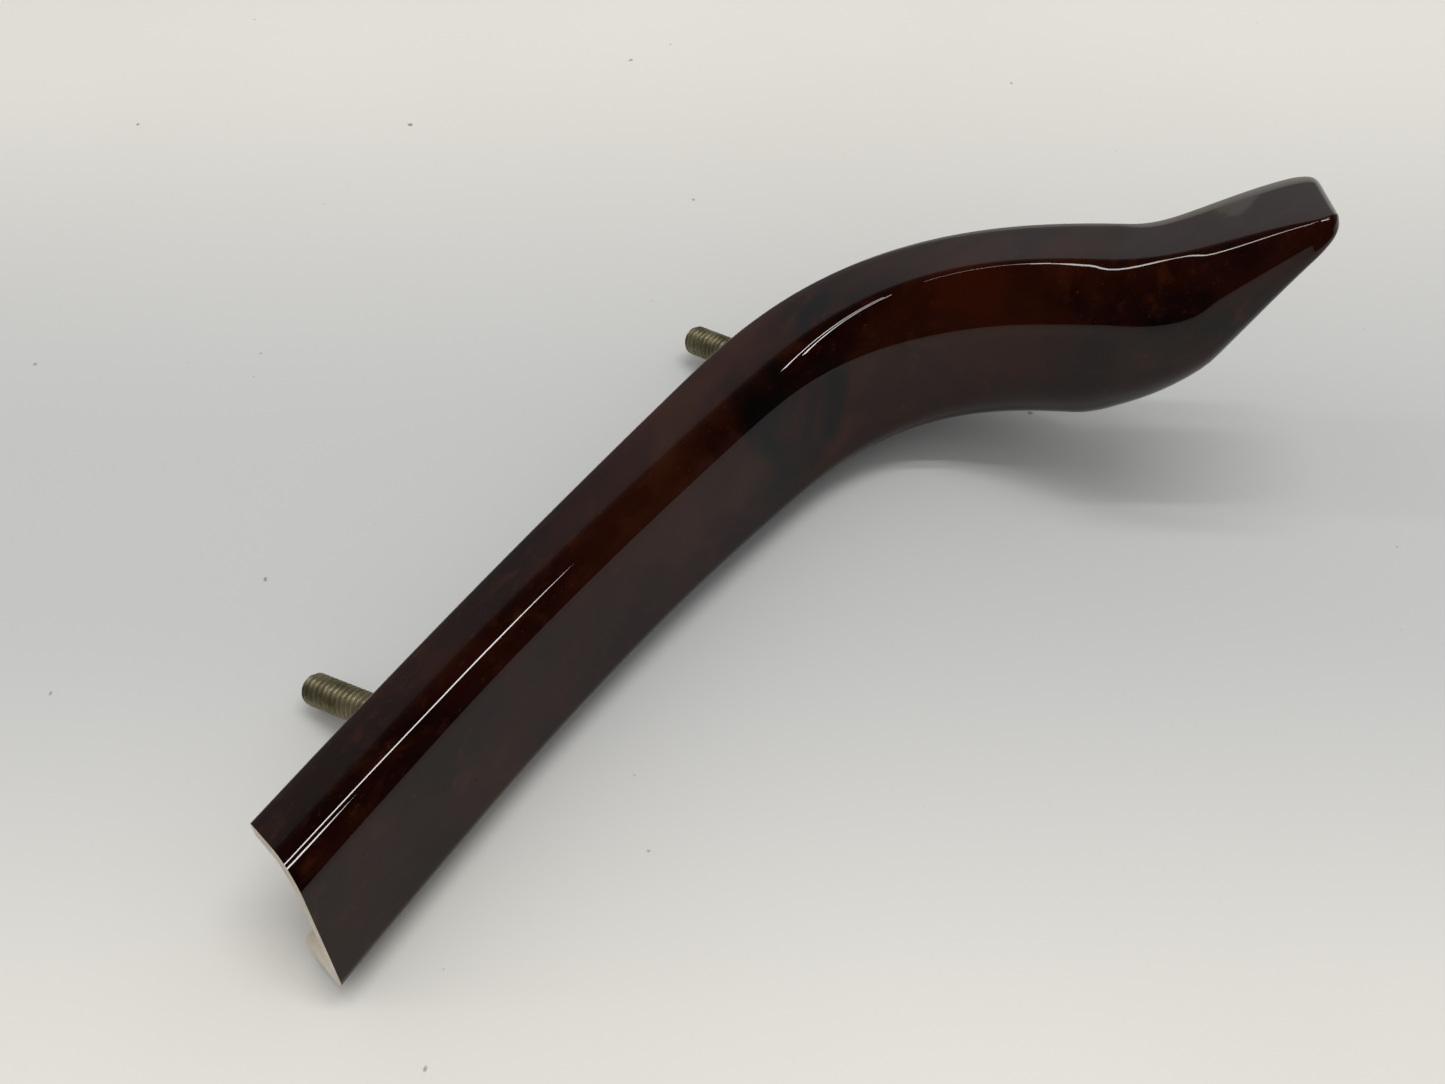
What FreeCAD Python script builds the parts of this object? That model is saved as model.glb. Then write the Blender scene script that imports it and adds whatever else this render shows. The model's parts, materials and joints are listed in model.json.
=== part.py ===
"""Boat grab rail: a moulded channel shell with a swan-necked grip, carried by a bent steel
bar and two threaded studs that pass through the panel it is mounted on.

The rail frame has X along the straight run, +Y into the panel and +Z across the rail, with
its origin where the left stud's axis meets the mounting rim. The finished part is that frame
leaned back about X by `lean_angle`, the attitude in which the rail rests on a flat surface on
its bottom edge and stud tips, so its own frame has +Z straight up.
"""
import FreeCAD, Part
import Sketcher
import math
import os

Vector = FreeCAD.Vector
TINY = 1e-6

SIZES = {
    # plan curve, measured along the mounting rim from the left stud
    "cut_reach": 35.0,          # left stud to the open cut end
    "stud_spacing": 108.0,      # left stud to right stud
    "grip_reach": 219.7,        # left stud to the end of the tip
    "bow_radius": 1400.0,       # gentle bow of the mounting rim
    "neck_start": 79.0,         # where the rail starts to leave the panel
    "neck_end": 184.0,
    "neck_turn": 78.7,          # degrees turned away from the panel in the neck
    "flare_end": 197.0,
    "flare_turn": 21.5,         # degrees turned back towards the tip
    # outer section
    "channel_depth": 14.4,
    "grip_depth": 23.5,
    "tip_depth": 27.0,
    "channel_height": 26.9,
    "grip_height": 33.6,
    "tip_thickness": 3.2,
    "taper_start": 176.0,       # where the underside starts to close up to the top
    "grip_rise": 0.6,           # how much higher the grip's top face is
    "tip_rise": 5.6,
    # shoulder between the front and top faces, with a crease where it meets the top
    "channel_shoulder": 3.6,    # height and depth of the shoulder on the straight run
    "shoulder_drop": 6.2,       # height of the shoulder at the grip
    "shoulder_depth": 6.2,
    "tip_shoulder": 0.8,
    "channel_crease_radius": 5.4,
    "grip_crease_radius": 1.5,
    "tip_crease_radius": 0.7,
    "channel_foot_radius": 3.0,
    "grip_foot_radius": 10.0,
    "tip_foot_radius": 1.0,
    "rim_radius": 0.8,
    "grip_roll": -9.4,          # degrees the grip rolls, front face upwards
    "tip_roll": -3.0,           # degrees more the tip rolls
    "tip_corner_radius": 5.0,
    "tip_nose_radius": 1.6,
    # shell
    "wall": 2.8,
    "cavity_end": 192.0,        # left stud to the inner end of the hollow
    "foot_setback": 2.5,        # how much shorter the bottom lip is than the rim
    "mitre_plan": 16.0,         # degrees the cut end is mitred in plan
    "mitre_rise": 9.0,          # degrees the cut end is raked in elevation
    "lean_angle": 19.0,
    # bent stiffener bar
    "bar_thickness": 2.5,
    "bar_width": 15.0,
    "bar_setback": 5.6,         # rim to the bar's back face
    "bar_start": 16.0,          # bar's left end, measured back from the left stud
    "bar_end": 182.0,
    # anchor blocks between the bar and the front wall
    "block_length": 25.0,
    "block_height": 18.6,
    "bond_gap": 0.25,           # adhesive line between block, bar and shell
    "grip_block_place": 154.0,
    # studs, nuts and washers
    "stud_radius": 3.175,       # major radius of a quarter-inch thread
    "stud_neck_radius": 3.0,
    "stud_neck_end": 0.5,       # the thread starts this far inside the rim
    "stud_reach": 28.5,         # free length beyond the rim
    "stud_turn": 12.0,          # degrees the right stud is turned from the left one
    "seat_length": 26.0,        # flat on the bar that the right stud is clamped to
    "seat_blend": 12.0,
    "stud_chamfer": 0.9,
    "head_flats": 11.1,
    "head_height": 3.0,
    "nut_flats": 11.1,
    "nut_height": 3.6,
    "washer_radius": 7.4,
    "washer_thickness": 1.3,
    "stud_clearance": 0.2,
    # small screws
    "screw_radius": 1.5,
    "screw_head_radius": 2.9,
    "screw_head_height": 1.6,
    "bar_screw_length": 5.0,
    "bar_screw_offset": 10.6,   # screw to the middle of its block
    "cover_screw_length": 8.0,
    "spacer_radius": 3.0,
    "screw_clearance": 0.1,
    # cover over the back of the grip
    "cover_start": 124.0,
    "cover_end": 188.0,
    "cover_thickness": 2.4,
    "cover_gap": 0.2,
    "cover_screw_inset": 10.5,
    "cover_screw_far": 174.0,   # left stud to the cover screw nearest the tip
}


def make_sheet(doc):
    """Driving dimensions, one named cell each."""
    sheet = doc.addObject("Spreadsheet::Sheet", "Sizes")
    for row, (name, value) in enumerate(SIZES.items(), start=1):
        sheet.set("A%d" % row, name)
        sheet.set("B%d" % row, str(value))
        sheet.setAlias("B%d" % row, name)
    doc.recompute()
    return sheet


def read_sizes(sheet):
    """The sheet's values as attributes, for the shapes that follow a formula."""
    return type("Sizes", (), {name: float(sheet.get(name)) for name in SIZES})


def smooth(value, start, end):
    """Share from 0 to 1 that eases in and out between start and end."""
    share = min(max((value - start) / (end - start), 0.0), 1.0)
    return share * share * (3.0 - 2.0 * share)


def mix(first, last, share):
    return first + (last - first) * share


def taper(value, start, end):
    """Share from 0 to 1 that eases in over its first third and then runs straight."""
    share = min(max((value - start) / (end - start), 0.0), 1.0)
    eased = share * share * 1.5 if share < 1 / 3 else share - 1 / 6
    return eased * 1.2


# ---- rail geometry at a distance along the mounting rim ----

def heading(size, along):
    """Plan direction of the rail in degrees; zero at the left stud."""
    bow = math.degrees(min(along, size.neck_start) / size.bow_radius)
    neck = size.neck_turn * smooth(along, size.neck_start, size.neck_end)
    flare = size.flare_turn * smooth(along, size.neck_end, size.flare_end)
    return flare - neck - bow


def rim_point(size, along):
    """Point on the mounting rim's centre line, by adding up short steps from the left stud."""
    steps = 120
    length = along / steps
    point = Vector(0, 0, 0)
    for index in range(steps):
        angle = math.radians(heading(size, (index + 0.5) * length))
        point += Vector(math.cos(angle), math.sin(angle), 0) * length
    return point


def depth(size, along):
    """Rim to front face."""
    swell = mix(size.channel_depth, size.grip_depth, smooth(along, 0, size.neck_end))
    return mix(swell, size.tip_depth, smooth(along, size.neck_end, size.grip_reach))


def height(size, along):
    swell = mix(size.channel_height, size.grip_height, smooth(along, size.neck_start / 2, size.neck_end))
    return mix(swell, size.tip_thickness, taper(along, size.taper_start, size.grip_reach))


def middle(size, along):
    """Height of the section's centre; the top face stays level but for two slow rises."""
    top = size.channel_height / 2 + size.grip_rise * smooth(along, size.neck_start / 2, size.neck_end)
    top += size.tip_rise * smooth(along, size.neck_end, size.grip_reach)
    return top - height(size, along) / 2


def swollen(size, along, channel, grip, tip):
    """A size of the section, blended from the straight run to the grip and on to the tip."""
    full = mix(channel, grip, smooth(along, size.neck_start, size.neck_end))
    return mix(full, tip, taper(along, size.neck_end, size.grip_reach))


def station(size, along):
    """Placement of a section: X along the rail, Y across it and Z towards the panel."""
    turn = FreeCAD.Rotation(Vector(0, 0, 1), heading(size, along))
    angle = size.grip_roll * smooth(along, size.neck_start, size.neck_end)
    angle += size.tip_roll * smooth(along, size.neck_end, size.grip_reach)
    roll = FreeCAD.Rotation(Vector(1, 0, 0), angle)
    upright = FreeCAD.Rotation(Vector(1, 0, 0), -90)
    centre = rim_point(size, along) + Vector(0, 0, middle(size, along))
    return FreeCAD.Placement(centre, turn * roll * upright)


def seat_station(size, along):
    """Placement on the bar, which is bent flat and square to the stud at the right stud."""
    place = station(size, along)
    turn = FreeCAD.Rotation(Vector(0, 0, 1), -size.stud_turn)
    seat = turn * FreeCAD.Rotation(Vector(1, 0, 0), -90)
    offset = along - size.stud_spacing
    share = 1 - smooth(abs(offset), size.seat_length / 2, size.seat_length / 2 + size.seat_blend)
    point = station(size, size.stud_spacing).Base + turn.multVec(Vector(offset, 0, 0))
    return FreeCAD.Placement(place.Base + (point - place.Base) * share, place.Rotation.slerp(seat, share))


def section_wire(place, points, radii):
    """Closed outline in a section plane, given as (depth, rise) corners with a radius each."""
    count = len(points)
    edges = []
    flat = [place.multVec(Vector(0, -rise, -deep)) for deep, rise in points]
    starts, ends, mids = [], [], []
    for index in range(count):
        here = flat[index]
        before = (flat[index - 1] - here).normalize()
        after = (flat[(index + 1) % count] - here).normalize()
        half = before.getAngle(after) / 2
        reach = radii[index] / math.tan(half)
        centre = here + (before + after).normalize() * (radii[index] / math.sin(half))
        starts.append(here + before * reach)
        ends.append(here + after * reach)
        mids.append(centre + (here - centre).normalize() * radii[index])
    for index in range(count):
        following = (index + 1) % count
        edges.append(Part.Arc(starts[index], mids[index], ends[index]).toShape())
        edges.append(Part.makeLine(ends[index], starts[following]))
    return Part.Wire(edges)


def spread(start, end, spacing):
    """Evenly spaced stations from start to end."""
    count = max(2, int(math.ceil((end - start) / spacing)) + 1)
    return [start + (end - start) * index / (count - 1) for index in range(count)]


def nose_inset(reach, radius, left):
    """How far a quarter-round nose has drawn in, with `left` still to go to its end."""
    if left >= radius:
        return 0.0
    gone = radius - left
    return reach * (1 - math.sqrt(max(0.0, 1 - (gone / radius) ** 2)))


# ---- moulded shell ----

def shoulder_corners(size, along, deep, half, inset):
    """The shoulder's lower and upper corners with their radii, for a face drawn in by an inset."""
    drop = swollen(size, along, size.channel_shoulder, size.shoulder_drop, size.tip_shoulder)
    back = swollen(size, along, size.channel_shoulder, size.shoulder_depth, size.tip_shoulder)
    full = swollen(size, along, size.channel_crease_radius, size.grip_crease_radius, size.tip_crease_radius)
    share = min(1.0, 0.45 * half / drop, 0.45 * deep / back)
    slope = math.atan2(back, drop)
    span = share * math.hypot(back, drop)
    creasing = math.tan((math.pi / 2 - slope) / 2)
    crease = min(max(full - inset, size.rim_radius / 2), 0.45 * span / creasing)
    bend = (0.97 * span - crease * creasing) / math.tan(slope / 2)
    corners = [(deep, half - share * drop), (deep - share * back, half)]
    return corners, [bend, crease]


def foot_bend(size, along):
    """Radius between the front face and the underside."""
    return swollen(size, along, size.channel_foot_radius, size.grip_foot_radius, size.tip_foot_radius)


def outer_section(size, along):
    """Rounded outline of the shell; it draws in from all sides over the rounded tip end."""
    left = size.grip_reach - along
    side = nose_inset(size.tip_corner_radius, size.tip_corner_radius, left)
    half = height(size, along) / 2 - nose_inset(size.tip_nose_radius * 0.8, size.tip_nose_radius, left)
    deep = depth(size, along) - side
    foot = size.foot_setback * (1 - smooth(along, size.stud_spacing / 2, size.stud_spacing)) + side
    shoulder, bends = shoulder_corners(size, along, deep, half, 0.0)
    foot_radius = min(foot_bend(size, along), 0.6 * half)
    rim = min(size.rim_radius, 0.5 * half)
    points = [(foot, -half), (deep, -half)] + shoulder + [(side, half)]
    return section_wire(station(size, along), points, [rim, foot_radius] + bends + [rim])


def outer_solid(size):
    overrun = size.channel_depth + 2
    end = size.grip_reach
    places = spread(-size.cut_reach - overrun, end - size.tip_corner_radius, 9.0)
    for angle in (25, 45, 62, 76, 86):
        places.append(end - size.tip_corner_radius * (1 - math.sin(math.radians(angle))))
    return Part.makeLoft([outer_section(size, along) for along in places], True, False)


def cavity(size, start, end, margin):
    """Space inside the shell, open to the back, drawn in by a margin for what sits in it."""
    wires = []
    inset = size.wall + margin
    for along in spread(start, end, 9.0):
        half = height(size, along) / 2 - inset
        deep = depth(size, along) - inset
        least = size.rim_radius / 2
        shoulder, bends = shoulder_corners(size, along, deep, half, inset)
        foot_radius = max(least, min(foot_bend(size, along) - inset, 0.6 * half))
        points = [(-size.wall, -half), (deep, -half)] + shoulder + [(-size.wall, half)]
        wires.append(section_wire(station(size, along), points, [least, foot_radius] + bends + [least]))
    return Part.makeLoft(wires, True, False)


def mitre_block(size):
    """Everything beyond the mitred cut end."""
    span = 4 * size.channel_height
    block = Part.makeBox(span, 2 * span, 2 * span, Vector(-span, -span, -span))
    turn = FreeCAD.Rotation(Vector(0, 0, 1), heading(size, -size.cut_reach) - size.mitre_plan)
    rake = FreeCAD.Rotation(Vector(0, 1, 0), size.mitre_rise)
    block.Placement = FreeCAD.Placement(rim_point(size, -size.cut_reach), turn * rake)
    return block


def rail_shell(size):
    hollow = cavity(size, -size.cut_reach - 2 * size.channel_depth, size.cavity_end, 0.0)
    return outer_solid(size).cut(hollow).cut(mitre_block(size))


# ---- pieces that follow the rail ----

def ribbon(size, follow, start, end, near, far, width):
    """Strip that follows the rail between two depths behind the rim, `width` across."""
    wires = []
    for along in spread(start, end, 5.0):
        place = follow(size, along)
        corners = [(near, -width / 2), (far, -width / 2), (far, width / 2), (near, width / 2)]
        loop = [place.multVec(Vector(0, -rise, -deep)) for deep, rise in corners]
        wires.append(Part.makePolygon(loop + loop[:1]))
    return Part.makeLoft(wires, True, False)


def drill(place, radius, near, far):
    """Round tool from the panel side into the rail, between two depths behind the rim."""
    top = place.multVec(Vector(0, 0, -near))
    down = place.multVec(Vector(0, 0, -far)) - top
    return Part.makeCylinder(radius, down.Length, top, down)


def bar_screw_places(size):
    middles = (0.0, size.stud_spacing, size.grip_block_place)
    return [place + side * size.bar_screw_offset for place in middles for side in (-1, 1)]


def cover_screw_places(size):
    return [size.cover_start + size.cover_screw_inset, size.cover_screw_far]


def stiffener_bar(size):
    back = size.bar_setback
    front = back + size.bar_thickness
    bar = ribbon(size, seat_station, -size.bar_start, size.bar_end, back, front, size.bar_width)
    for along in (0.0, size.stud_spacing):
        bore = size.stud_radius + size.stud_clearance
        bar = bar.cut(drill(seat_station(size, along), bore, 0, 2 * front))
    for along in bar_screw_places(size) + cover_screw_places(size):
        bore = size.screw_radius + size.screw_clearance
        bar = bar.cut(drill(seat_station(size, along), bore, 0, 2 * front))
    return bar


def anchor_block(size, along, holds_stud):
    """Moulded block bonded between the bar and the front wall, pocketed for a stud's head."""
    near = size.bar_setback + size.bar_thickness + size.bond_gap
    half = size.block_length / 2
    strip = ribbon(size, seat_station, along - half, along + half, near, size.grip_depth, size.block_height)
    block = strip.common(cavity(size, along - 2 * half, along + 2 * half, size.bond_gap))
    if holds_stud:
        pocket = size.head_flats / math.sqrt(3) + size.stud_clearance
        floor = near + size.head_height + size.bond_gap
        block = block.cut(drill(seat_station(size, along), pocket, 0, floor))
    for side in (-1, 1):
        hole = size.screw_radius + size.screw_clearance
        place = seat_station(size, along + side * size.bar_screw_offset)
        block = block.cut(drill(place, hole, 0, size.bar_setback + size.bar_screw_length + size.bond_gap))
    return block


def grip_back_cover(size):
    width = 2 * size.grip_height
    strip = ribbon(size, station, size.cover_start, size.cover_end, 0, size.cover_thickness, width)
    cover = strip.common(cavity(size, size.cover_start - 9, size.cavity_end, size.cover_gap))
    for along in cover_screw_places(size):
        place = station(size, along)
        outside = place.multVec(Vector(0, 0, 0))
        inward = place.multVec(Vector(0, 0, -size.cover_thickness)) - outside
        wide = size.screw_head_radius + size.screw_clearance
        slim = size.screw_radius + size.screw_clearance
        cover = cover.cut(drill(place, slim, -size.wall, 2 * size.cover_thickness))
        cover = cover.cut(Part.makeCone(wide, slim, size.screw_head_height, outside, inward))
        cover = cover.cut(drill(place, wide, -size.wall, 0))
    return cover


def add_formed_piece(doc, label, shape, lean):
    """Document object for a piece whose shape follows the rail's own formulas."""
    piece = doc.addObject("Part::Feature", label)
    piece.Label = label
    piece.Shape = shape
    piece.Placement = lean
    return piece


# ---- turned and cut pieces ----

def origin_plane(body, role):
    return next(item for item in body.Origin.OriginFeatures if item.Role == role)


def add_sketch(body, name, offset):
    """Sketch parallel to the body's XY plane, lifted by an expression."""
    sketch = body.newObject("Sketcher::SketchObject", name)
    sketch.AttachmentSupport = [(origin_plane(body, "XY_Plane"), "")]
    sketch.MapMode = "FlatFace"
    sketch.setExpression("AttachmentOffset.Base.z", offset)
    return sketch


def add_circle(sketch, radius_name):
    sketch.addGeometry(Part.Circle(Vector(0, 0, 0), Vector(0, 0, 1), 3.0), False)
    sketch.addConstraint(Sketcher.Constraint("Coincident", 0, 3, -1, 1))
    radius = sketch.addConstraint(Sketcher.Constraint("Radius", 0, 3.0))
    sketch.setExpression("Constraints[%d]" % radius, radius_name)


def add_hexagon(sketch, flats_name):
    """Regular hexagon about the sketch's origin, sized across its flats."""
    corners = [Vector(6 * math.cos(math.radians(60 * turn)), 6 * math.sin(math.radians(60 * turn)), 0)
               for turn in range(6)]
    for turn in range(6):
        sketch.addGeometry(Part.LineSegment(corners[turn], corners[(turn + 1) % 6]), False)
    guide = sketch.addGeometry(Part.Circle(Vector(0, 0, 0), Vector(0, 0, 1), 6.0), True)
    sketch.addConstraint(Sketcher.Constraint("Coincident", guide, 3, -1, 1))
    for turn in range(6):
        sketch.addConstraint(Sketcher.Constraint("Coincident", turn, 2, (turn + 1) % 6, 1))
        sketch.addConstraint(Sketcher.Constraint("PointOnObject", turn, 1, guide))
    for turn in range(5):
        sketch.addConstraint(Sketcher.Constraint("Equal", turn, turn + 1))
    sketch.addConstraint(Sketcher.Constraint("PointOnObject", 0, 1, -1))
    radius = sketch.addConstraint(Sketcher.Constraint("Radius", guide, 6.0))
    sketch.setExpression("Constraints[%d]" % radius, flats_name + " / sqrt(3)")


def add_pad(body, sketch, length):
    pad = body.newObject("PartDesign::Pad", sketch.Name + "_pad")
    pad.Profile = sketch
    pad.setExpression("Length", length)
    sketch.Visibility = False
    return pad


def stud(doc, label, place):
    """Hex-headed stud, head under the bar and free end beyond the rim."""
    body = doc.addObject("PartDesign::Body", label)
    body.Label = label
    seat = "Sizes.bar_setback + Sizes.bar_thickness + Sizes.bond_gap"
    head = add_sketch(body, label + "_head", "-(%s + Sizes.head_height)" % seat)
    add_hexagon(head, "Sizes.head_flats")
    add_pad(body, head, "Sizes.head_height")
    neck = add_sketch(body, label + "_neck", "-(%s)" % seat)
    add_circle(neck, "Sizes.stud_neck_radius")
    add_pad(body, neck, "%s - Sizes.stud_neck_end" % seat)
    shank = add_sketch(body, label + "_shank", "-Sizes.stud_neck_end")
    add_circle(shank, "Sizes.stud_radius")
    pad = add_pad(body, shank, "Sizes.stud_reach + Sizes.stud_neck_end")
    doc.recompute()
    tip = max(range(len(pad.Shape.Edges)), key=lambda index: pad.Shape.Edges[index].CenterOfMass.z)
    chamfer = body.newObject("PartDesign::Chamfer", label + "_chamfer")
    chamfer.Base = (pad, ["Edge%d" % (tip + 1)])
    chamfer.setExpression("Size", "Sizes.stud_chamfer")
    body.Tip = chamfer
    body.Placement = place
    return body


def bind(item, **expressions):
    for name, expression in expressions.items():
        item.setExpression(name, expression)


def cylinder(doc, name, radius, length, low="0"):
    item = doc.addObject("Part::Cylinder", name)
    bind(item, Radius=radius, Height=length)
    item.setExpression("Placement.Base.z", low)
    return item


def cut(doc, name, base, tool):
    item = doc.addObject("Part::Cut", name)
    item.Base = base
    item.Tool = tool
    return item


def fuse(doc, name, first, second):
    item = doc.addObject("Part::Fuse", name)
    item.Base = first
    item.Tool = second
    return item


def washer(doc, name, place):
    """Flat washer on the back of the bar."""
    low = "-(Sizes.bar_setback)"
    disc = cylinder(doc, name + "_disc", "Sizes.washer_radius", "Sizes.washer_thickness", low)
    hole = cylinder(doc, name + "_hole", "Sizes.stud_radius + Sizes.stud_clearance",
                    "Sizes.washer_thickness", low)
    item = cut(doc, name, disc, hole)
    item.Placement = place
    return item


def lock_nut(doc, name, place):
    """Hexagon nut on the washer, its corners rounded off by a turned cone."""
    low = "-(Sizes.bar_setback - Sizes.washer_thickness)"
    blank = doc.addObject("Part::Prism", name + "_blank")
    blank.Polygon = 6
    bind(blank, Circumradius="Sizes.nut_flats / sqrt(3)", Height="Sizes.nut_height")
    blank.setExpression("Placement.Base.z", low)
    turned = doc.addObject("Part::Cone", name + "_turned")
    bind(turned, Radius1="Sizes.nut_flats / sqrt(3) + Sizes.nut_height", Height="Sizes.nut_height",
         Radius2="Sizes.nut_flats / 2")
    turned.setExpression("Placement.Base.z", low)
    body = doc.addObject("Part::Common", name + "_body")
    body.Base = blank
    body.Tool = turned
    hole = cylinder(doc, name + "_hole", "Sizes.stud_radius + Sizes.stud_clearance / 4",
                    "Sizes.nut_height", low)
    item = cut(doc, name, body, hole)
    item.Placement = place
    return item


def bar_screw(doc, name, place):
    """Pan-head screw with its head on the back of the bar."""
    head = cylinder(doc, name + "_head", "Sizes.screw_head_radius", "Sizes.screw_head_height",
                    "-(Sizes.bar_setback)")
    shank = cylinder(doc, name + "_shank", "Sizes.screw_radius", "Sizes.bar_screw_length",
                     "-(Sizes.bar_setback + Sizes.bar_screw_length)")
    item = fuse(doc, name, head, shank)
    item.Placement = place
    return item


def cover_screw(doc, name, place):
    """Countersunk screw, flush with the outside of the cover."""
    head = doc.addObject("Part::Cone", name + "_head")
    bind(head, Radius1="Sizes.screw_radius", Radius2="Sizes.screw_head_radius",
         Height="Sizes.screw_head_height")
    head.setExpression("Placement.Base.z", "-(Sizes.screw_head_height)")
    shank = cylinder(doc, name + "_shank", "Sizes.screw_radius", "Sizes.cover_screw_length",
                     "-(Sizes.cover_screw_length)")
    item = fuse(doc, name, head, shank)
    item.Placement = place
    return item


def cover_spacer(doc, name, place):
    """Sleeve that keeps the cover off the bar."""
    low = "-(Sizes.bar_setback)"
    length = "Sizes.bar_setback - Sizes.cover_thickness"
    sleeve = cylinder(doc, name + "_sleeve", "Sizes.spacer_radius", length, low)
    hole = cylinder(doc, name + "_hole", "Sizes.screw_radius + Sizes.screw_clearance", length, low)
    item = cut(doc, name, sleeve, hole)
    item.Placement = place
    return item


def group(doc, label, maker, places):
    """Identical pieces as separate solids of one sub-part."""
    items = [maker(doc, "%s_%d" % (label, number), place) for number, place in enumerate(places, start=1)]
    whole = doc.addObject("Part::Compound", label)
    whole.Label = label
    whole.Links = items
    return whole


def build_rail(doc):
    sheet = make_sheet(doc)
    size = read_sizes(sheet)
    lean = FreeCAD.Placement(Vector(0, 0, 0), FreeCAD.Rotation(Vector(1, 0, 0), -size.lean_angle))

    def leaned(places):
        return [lean * seat_station(size, along) for along in places]

    studs = (0.0, size.stud_spacing)
    parts = [
        add_formed_piece(doc, "rail_shell", rail_shell(size), lean),
        add_formed_piece(doc, "grip_back_cover", grip_back_cover(size), lean),
        add_formed_piece(doc, "stiffener_bar", stiffener_bar(size), lean),
        add_formed_piece(doc, "left_anchor_block", anchor_block(size, studs[0], True), lean),
        add_formed_piece(doc, "right_anchor_block", anchor_block(size, studs[1], True), lean),
        add_formed_piece(doc, "grip_anchor_block", anchor_block(size, size.grip_block_place, False), lean),
        stud(doc, "left_stud", leaned(studs)[0]),
        stud(doc, "right_stud", leaned(studs)[1]),
        group(doc, "stud_washers", washer, leaned(studs)),
        group(doc, "stud_lock_nuts", lock_nut, leaned(studs)),
        group(doc, "bar_screws", bar_screw, leaned(bar_screw_places(size))),
        group(doc, "cover_screws", cover_screw, leaned(cover_screw_places(size))),
        group(doc, "cover_spacers", cover_spacer, leaned(cover_screw_places(size))),
    ]
    doc.recompute()
    return parts


def check(doc, parts):
    for item in doc.Objects:
        if "Invalid" in item.State or "Error" in item.State:
            raise RuntimeError("%s failed to build: %s" % (item.Label, item.State))
    for part in parts:
        if part.Shape.isNull() or not part.Shape.isValid() or part.Shape.Volume < TINY:
            raise RuntimeError("%s has no valid shape" % part.Label)


def export(parts):
    os.makedirs("parts", exist_ok=True)
    for part in parts:
        part.Shape.exportStep(os.path.join("parts", part.Label + ".step"))
        box = part.Shape.BoundBox
        print("%-20s solids %d volume %9.1f  size %6.1f %6.1f %6.1f"
              % (part.Label, len(part.Shape.Solids), part.Shape.Volume, box.XLength, box.YLength, box.ZLength))


document = FreeCAD.newDocument("grab_rail")
rail_parts = build_rail(document)
check(document, rail_parts)
export(rail_parts)
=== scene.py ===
import json
import math

import bpy
import numpy as np
from mathutils import Matrix, Vector


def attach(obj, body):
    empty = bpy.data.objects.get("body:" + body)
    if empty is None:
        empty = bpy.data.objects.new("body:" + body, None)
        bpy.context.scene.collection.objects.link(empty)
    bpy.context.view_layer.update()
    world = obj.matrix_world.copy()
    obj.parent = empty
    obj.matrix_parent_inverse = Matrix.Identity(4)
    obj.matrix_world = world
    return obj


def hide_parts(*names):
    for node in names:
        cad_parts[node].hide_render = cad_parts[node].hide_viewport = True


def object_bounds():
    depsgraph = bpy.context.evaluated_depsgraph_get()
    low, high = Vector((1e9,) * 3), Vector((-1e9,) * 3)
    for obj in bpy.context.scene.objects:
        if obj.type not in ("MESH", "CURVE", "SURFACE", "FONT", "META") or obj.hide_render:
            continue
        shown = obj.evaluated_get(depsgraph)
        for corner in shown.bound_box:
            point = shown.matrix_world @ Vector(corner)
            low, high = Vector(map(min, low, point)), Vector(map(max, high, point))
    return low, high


# Looks of the grab rail: the lacquered burl shell, threaded studs, plated hardware and a pale studio.
# Lengths are written in millimetres and turned into metres by MM, except where a line says metres. The
# rail frame is the CAD one: X along the straight run, Y into the panel, Z up, with the rail leaned back
# about X by LEAN.

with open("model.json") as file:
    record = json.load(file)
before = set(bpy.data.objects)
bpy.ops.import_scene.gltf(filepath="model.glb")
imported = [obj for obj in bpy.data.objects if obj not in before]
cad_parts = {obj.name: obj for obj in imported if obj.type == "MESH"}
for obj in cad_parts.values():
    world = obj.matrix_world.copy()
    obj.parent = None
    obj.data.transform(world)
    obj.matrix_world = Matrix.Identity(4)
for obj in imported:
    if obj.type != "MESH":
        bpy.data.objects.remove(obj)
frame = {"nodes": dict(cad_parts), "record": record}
cad_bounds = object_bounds()
NODES = frame["nodes"]
MM = 0.001

# ---- the rail's driving dimensions, as the CAD model has them ----
CUT_REACH = 35.0
STUD_SPACING = 108.0
GRIP_REACH = 219.7
BOW_RADIUS = 1400.0
NECK_START, NECK_END, NECK_TURN = 79.0, 184.0, 78.7
FLARE_END, FLARE_TURN = 197.0, 21.5
CHANNEL_DEPTH, GRIP_DEPTH, TIP_DEPTH = 14.4, 23.5, 27.0
CHANNEL_HEIGHT, GRIP_HEIGHT, TIP_THICKNESS = 26.9, 33.6, 3.2
TAPER_START = 176.0
GRIP_RISE, TIP_RISE = 0.6, 5.6
GRIP_ROLL, TIP_ROLL = -9.4, -3.0
SHOULDER_DROP = (3.6, 6.2, 0.8)      # straight run, grip, tip
SHOULDER_DEPTH = (3.6, 6.2, 0.8)
CREASE_RADIUS = (5.4, 1.5, 0.7)
FOOT_RADIUS = (3.0, 10.0, 1.0)
RIM_RADIUS = 0.8
TIP_CORNER, TIP_NOSE = 5.0, 1.6
WALL = 2.8
CAVITY_END = 192.0
FOOT_SETBACK = 2.5
MITRE_PLAN, MITRE_RISE = 16.0, 9.0
LEAN = 19.0

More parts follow.
